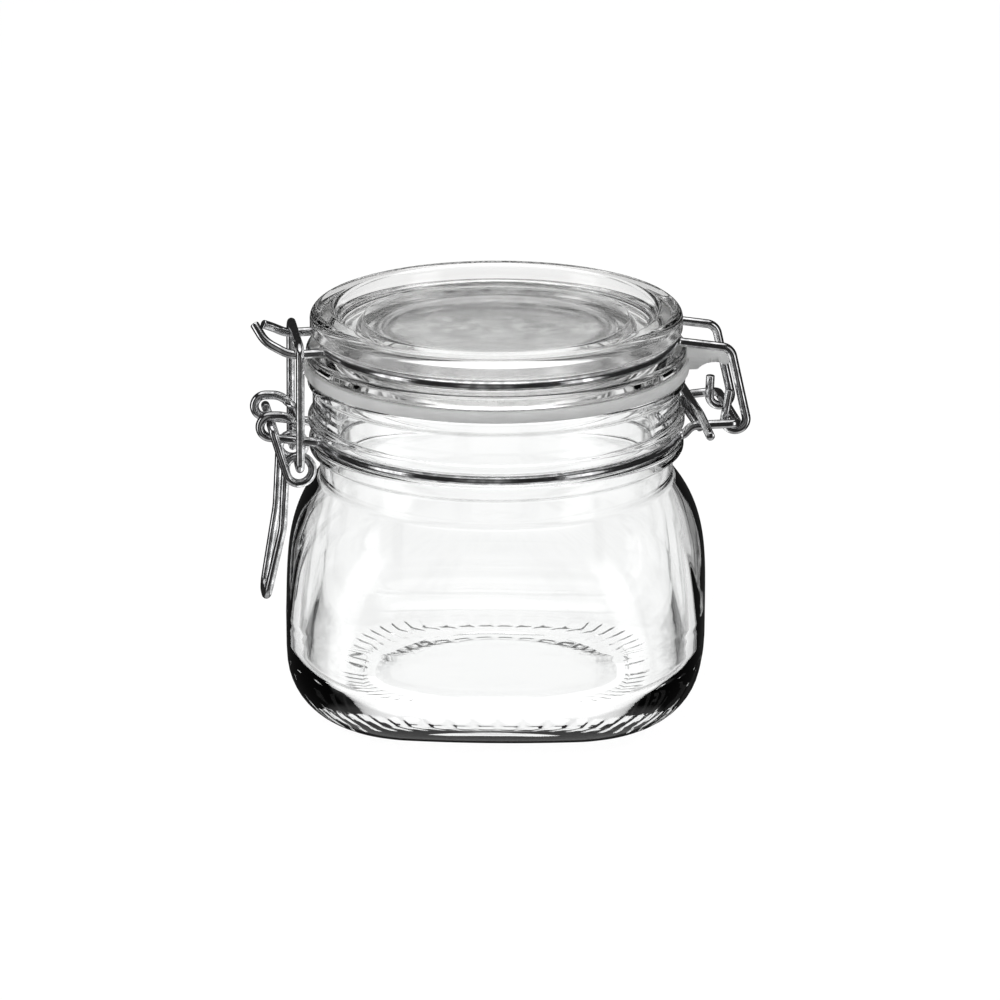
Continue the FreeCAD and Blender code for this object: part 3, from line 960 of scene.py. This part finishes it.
@dataclass
class LidWire(BentWire):
    """Wire in the lid's groove, in two halves: a hook, a strand, half a ring and a prong each."""

    hinge_pin: Vector = field(default_factory=Vector)
    height: float = 91.9
    ring_radius: float = 43.52
    hook_half_width: float = 10.5
    hook_radius: float = 2.7
    hook_lift: float = 18.2
    tongue_half_width: float = 10.0
    seat_dip: float = 0.2

    def hook(self, stub: float, lean: float) -> Route:
        """Return the front hook and the corner of its strand.

        Args:
            stub: Height of the hook's cut end above the hinge axis.
            lean: How far the cut end leans out.

        Returns:
            The corners from the cut end to the top of the strand.
        """
        half = -self.hook_half_width
        pin = Vector((self.hinge_pin.x, half, self.hinge_pin.z))
        end = pin + Vector((lean - self.hook_radius, 0, stub))
        top = pin + Vector((-1.4, 0, self.hook_lift))
        turn = self.wrap(pin, self.hook_radius, end, top, 1)
        return [(end, 0)] + turn + [(top, self.open_bend)]

    def half(self, hook: Route, prong: Route) -> Route:
        """Return one half of the wire as if it lay in front.

        Args:
            hook: Corners of its hook, from the cut end to the top of the strand.
            prong: Corners of its prong, as (out, half width, up) from the ring in its groove.

        Returns:
            The corners from the hook's cut end to the prong's.
        """
        off_hook = self.leave_angle(self.ring_radius, self.hook_half_width)
        off_tongue = self.leave_angle(self.ring_radius, self.tongue_half_width)
        half_ring = self.mirrored(
            self.leave(self.ring_radius, self.tongue_half_width, self.height, -1)
            + self.ring(self.ring_radius, self.height, math.pi - off_tongue, off_hook)
            + self.leave(self.ring_radius, self.hook_half_width, self.height, 1)
        )
        start = Vector((-self.ring_radius, 0, self.height))
        placed = [(start + Vector((-spot.x, -spot.y, spot.z)), bend) for spot, bend in prong]
        return hook + half_ring + placed

    def build(self) -> list[bpy.types.Object]:
        """Return the finished wire as its front and rear halves."""
        spread, dip = self.tongue_half_width, self.seat_dip
        front = [
            (Vector((7.8, spread, -dip)), 8.0),
            (Vector((13.6, spread - 1.6, 2.9)), 7.0),
            (Vector((16.0, spread - 4.2, 6.8)), 0),
        ]
        rear = [
            (Vector((7.0, spread, -dip)), 6.0),
            (Vector((10.2, spread - 0.3, 1.35)), 6.0),
            (Vector((12.85, spread - 1.6, 2.7)), 0),
        ]
        front_half = self.half(self.hook(7.6, 1.2), front)
        rear_half = self.mirrored(self.half(self.hook(5.2, 0.2), rear))
        return [
            self.draw("lid_wire_front", self.wire, front_half),
            self.draw("lid_wire_rear", self.wire, rear_half),
        ]


@dataclass
class Latch(BentWire):
    """Lever with a coil on each side and its handle, and the link that hangs in the coils."""

    lever_pin: Vector = field(default_factory=Vector)
    link_foot: Vector = field(default_factory=Vector)
    link_top: float = 0.0
    link_across: float = -49.15
    foot_length: float = 2.4
    end_overhang: float = 1.3
    eye_half_width: float = 8.9
    coil_inset: float = 6.5
    coil_drop: float = 10.8
    coil_radius: float = 3.2
    handle_drop: float = 45.2
    handle_bend_drop: float = 25.8
    handle_inset: float = 2.4
    handle_kick: float = 3.9
    handle_tip_half_width: float = 4.4
    handle_bend: float = 12.0
    handle_tip_bend: float = 3.6

    @property
    def half_width(self) -> float:
        """Half the distance between the lever's arms."""
        return self.eye_half_width + self.wire / 2 + self.latch_wire / 2 + self.seat_gap

    @property
    def pitch(self) -> float:
        """Distance between the turns of a coil."""
        return self.latch_wire + self.seat_gap

    def lever(self) -> bpy.types.Object:
        """Return the finished lever."""
        pin, side = self.lever_pin, self.half_width
        end = Vector((pin.x, self.wire / 2 + self.end_overhang - self.eye_half_width, pin.z))
        arm = Vector((pin.x, -side, pin.z))
        coil = pin + Vector((self.coil_inset, 0, -self.coil_drop))
        across = pin.x + self.handle_inset
        bend = Vector((across, self.pitch - side, pin.z - self.handle_bend_drop))
        tip = Vector((
            across - self.handle_kick, -self.handle_tip_half_width, pin.z - self.handle_drop
        ))
        front = [(end, 0), (arm, self.tight_bend)]
        front += self.wrap(coil, self.coil_radius, arm, bend, 1)
        front += [(bend, self.handle_bend), (tip, self.handle_tip_bend)]
        return self.draw("lever_bright", self.latch_wire, front + self.mirrored(front))

    def link(self) -> bpy.types.Object:
        """Return the finished link."""
        half = self.half_width + self.latch_wire + self.running_gap
        inner = self.pitch - self.half_width + self.foot_length
        end = Vector((self.link_foot.x, inner, self.link_foot.z))
        foot = Vector((self.link_foot.x, -half, self.link_foot.z))
        top = Vector((self.link_across, -half, self.link_top - self.latch_wire / 2))
        front = [(end, 0), (foot, self.tight_bend), (top, self.open_bend)]
        return self.draw("link_bright", self.latch_wire, front + self.mirrored(front))


# --- studio ---

@dataclass
class Studio:
    """Pale floor, soft lamps, the surrounding panels and the camera."""

    target: tuple[float, float, float] = (0.0009, 0.0, 0.0497)
    distance: float = 1.075
    azimuth: float = -7.5
    elevation: float = 18.0
    lens: float = 156.7
    ambient: float = 0.45
    backlight: float = 1.2
    floor_colour: float = 0.9
    floor_glow: float = 1.06

    def camera(self) -> None:
        """Stand the camera before the jar."""
        side, lift = math.radians(self.azimuth), math.radians(self.elevation)
        back = Vector((
            math.sin(side) * math.cos(lift), -math.cos(side) * math.cos(lift), math.sin(lift)
        ))
        data = bpy.data.cameras.new("camera")
        data.lens = self.lens
        data.sensor_width = 36.0
        data.clip_start, data.clip_end = 0.05, 20.0
        made = bpy.data.objects.new("camera", data)
        made.location = Vector(self.target) + back * self.distance
        made.rotation_euler = (-back).to_track_quat("-Z", "Y").to_euler()
        bpy.context.scene.collection.objects.link(made)
        bpy.context.scene.camera = made

    def surroundings(self) -> None:
        """Surround the jar: white for the eye, and other surroundings for glass and metal.

        Glass is seen against white panels with narrow dark gaps and dim streaks. Metal mirrors
        dark surroundings with a bright strip on each side, a bright top and a pale floor.
        """
        world = bpy.data.worlds.new("studio")
        bpy.context.scene.world = world
        graph = Graph(world)
        heading = graph.add("ShaderNodeTexCoord", output="Generated")
        across = graph.add("ShaderNodeSeparateXYZ", {0: heading})
        ahead, height = graph.also(across, 1), graph.also(across, 2)
        azimuth = graph.add("ShaderNodeMath", {0: ahead, 1: across}, {"operation": "ARCTAN2"})
        centre = math.radians(90 + self.azimuth)
        panels = ((azimuth - centre) * 8.0).cosine().ramp(-0.85, -0.5, 0.0, 1.0)
        low = height.ramp(0.45, 0.6, 1.0, 0.0)
        overhead = height.ramp(0.8, 0.9, 0.0, 1.0)
        below = height.ramp(-0.8, -0.7, 1.0, 0.0)
        place = graph.add("ShaderNodeCombineXYZ", {0: azimuth * 9.0, 1: height * 2.0})
        streaks = graph.noise(place, 3.0, 4.0)
        dim = streaks.ramp(0.38, 0.62, 0.07, 0.7)
        behind_glass = (panels * low + overhead).larger(below).larger(dim) * self.backlight
        facing = (azimuth - centre + 0.12).cosine()
        strips = facing.ramp(-0.68, -0.56, 0.0, 1.0) * facing.ramp(-0.36, -0.22, 1.0, 0.0)
        rear = facing.ramp(-0.99, -0.94, 0.22, 0.0)
        bounce = height.ramp(-0.8, -0.7, 0.5, 0.0)
        around_metal = (strips * 2.0 + rear) * low * height.ramp(-0.6, -0.3, 0.1, 1.0)
        around_metal = around_metal + overhead * 1.7 + bounce + 0.03
        rays = graph.add("ShaderNodeLightPath", output="Is Camera Ray")
        glossy, through = graph.also(rays, "Is Glossy Ray"), graph.also(rays, "Is Transmission Ray")
        matt = (1.0 - glossy) * (1.0 - through)
        indirect = glossy * around_metal + through * behind_glass + matt * self.ambient
        strength = rays + (1.0 - rays) * indirect
        graph.surface(graph.add("ShaderNodeBackground", {"Strength": strength}), "World")

    def floor(self) -> None:
        """Lay a plain floor, white to the eye and with a faint shadow under the jar."""
        clear_selection()
        bpy.ops.mesh.primitive_grid_add(x_subdivisions=8, y_subdivisions=8, size=8.0)
        piece = bpy.context.object
        piece.name = piece.data.name = "floor"
        made = bpy.data.materials.new("floor_white")
        graph = Graph(made)
        rays = graph.add("ShaderNodeLightPath", output="Is Camera Ray")
        shiny = graph.also(rays, "Is Glossy Ray").larger(graph.also(rays, "Is Transmission Ray"))
        matt = graph.add("ShaderNodeBsdfDiffuse", {"Color": (self.floor_colour,) * 3 + (1.0,)})
        glow = graph.add("ShaderNodeEmission", {"Strength": self.floor_glow})
        clear = graph.add("ShaderNodeBsdfTransparent")
        floor = graph.add("ShaderNodeMixShader", {0: rays * 0.9, 1: matt, 2: glow})
        graph.surface(graph.add("ShaderNodeMixShader", {0: shiny, 1: floor, 2: clear}))
        piece.data.materials.append(made)

    def lamp(self, name: str, place: tuple[float, float, float], size: float, power: float) -> None:
        """Hang a square soft lamp that faces the jar.

        Args:
            name: Name of the lamp.
            place: Where it hangs, in metres.
            size: Length of its side, in metres.
            power: Its power in watts.
        """
        data = bpy.data.lights.new(name, "AREA")
        data.shape, data.size, data.energy = "SQUARE", size, power
        made = bpy.data.objects.new(name, data)
        made.location = place
        away = Vector(self.target) - Vector(place)
        made.rotation_euler = away.to_track_quat("-Z", "Y").to_euler()
        made.visible_glossy = made.visible_transmission = False
        bpy.context.scene.collection.objects.link(made)

    def build(self) -> None:
        """Set up the whole studio."""
        settings = bpy.context.scene.view_settings
        settings.view_transform = "Standard"
        self.camera()
        self.surroundings()
        self.floor()
        self.lamp("lamp_left", (-0.9, -0.7, 1.1), 0.6, 9.0)
        self.lamp("lamp_right", (1.0, -0.2, 0.9), 0.5, 6.0)


def anchor(frame: dict, joint: str) -> Vector:
    """Return a joint's place in millimetres."""
    found = next(entry for entry in frame["joints"] if entry["name"] == joint)
    return Vector(found["pos_m"]) / MM


def smooth_copy(node: bpy.types.Object, name: str) -> bpy.types.Object:
    """Return a merged, smoothly shaded copy of a CAD node; the node itself stays as it is."""
    piece = bpy.data.objects.new(name, node.data.copy())
    bpy.context.scene.collection.objects.link(piece)
    piece.matrix_world = node.matrix_world
    take_up(piece)
    bpy.ops.object.mode_set(mode="EDIT")
    bpy.ops.mesh.select_all(action="SELECT")
    bpy.ops.mesh.remove_doubles(threshold=MERGE)
    bpy.ops.mesh.normals_make_consistent(inside=False)
    bpy.ops.object.mode_set(mode="OBJECT")
    bpy.ops.object.shade_smooth_by_angle(angle=math.radians(35))
    piece.data.materials.clear()
    return piece


def fit(piece: bpy.types.Object, node: str, body: Body) -> None:
    """Hand one finished piece to the body that carries it, in place of its CAD solid."""
    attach(piece, body.value)
    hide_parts(node)
    LOG.info("%s: %d faces, on %s", piece.name, len(piece.data.polygons), body.value)


def main(frame: dict) -> None:
    """Build the jar's pieces in order and report each of them."""
    steel = DrawnSteel("drawn_steel").material()
    hinge, lever = anchor(frame, "lid_hinge"), anchor(frame, "lever_pivot")
    jar = JarBody(PressedGlass("clear_glass")).build()
    fit(jar, "jar_body", Body.JAR)
    # The lid's grey colour and darkened disc are painted shade, standing in for dark reflections
    # and the darker inside seen through it; the disc's roughness is real haze.
    hazy_glass_with_painted_shade = PressedGlass("lid_glass", tint_and_painted_shade=(0.94, 0.94, 0.935), haze=0.22)
    lid = Lid(hazy_glass_with_painted_shade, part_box("gasket")[1].z / MM).build()
    fit(lid, "lid", Body.LID)
    gasket = smooth_copy(frame["nodes"]["gasket"], "gasket_smooth")
    gasket.data.materials.append(Silicone("silicone").material())
    fit(gasket, "gasket", Body.LID)
    neck_wire = NeckWire(steel, hinge_pin=hinge, lever_pin=lever).build()
    fit(neck_wire, "neck_wire", Body.JAR)
    for half in LidWire(steel, hinge_pin=hinge).build():
        fit(half, "lid_wire", Body.LID)
    link_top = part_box("latch_link")[1].z / MM
    foot = anchor(frame, "link_pivot")
    latch = Latch(steel, lever_pin=lever, link_foot=foot, link_top=link_top)
    fit(latch.lever(), "lever", Body.LEVER)
    fit(latch.link(), "latch_link", Body.LINK)
    Studio().build()


if __name__ == "__main__":
    logging.basicConfig(level=logging.INFO)
    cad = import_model()
    main(cad)
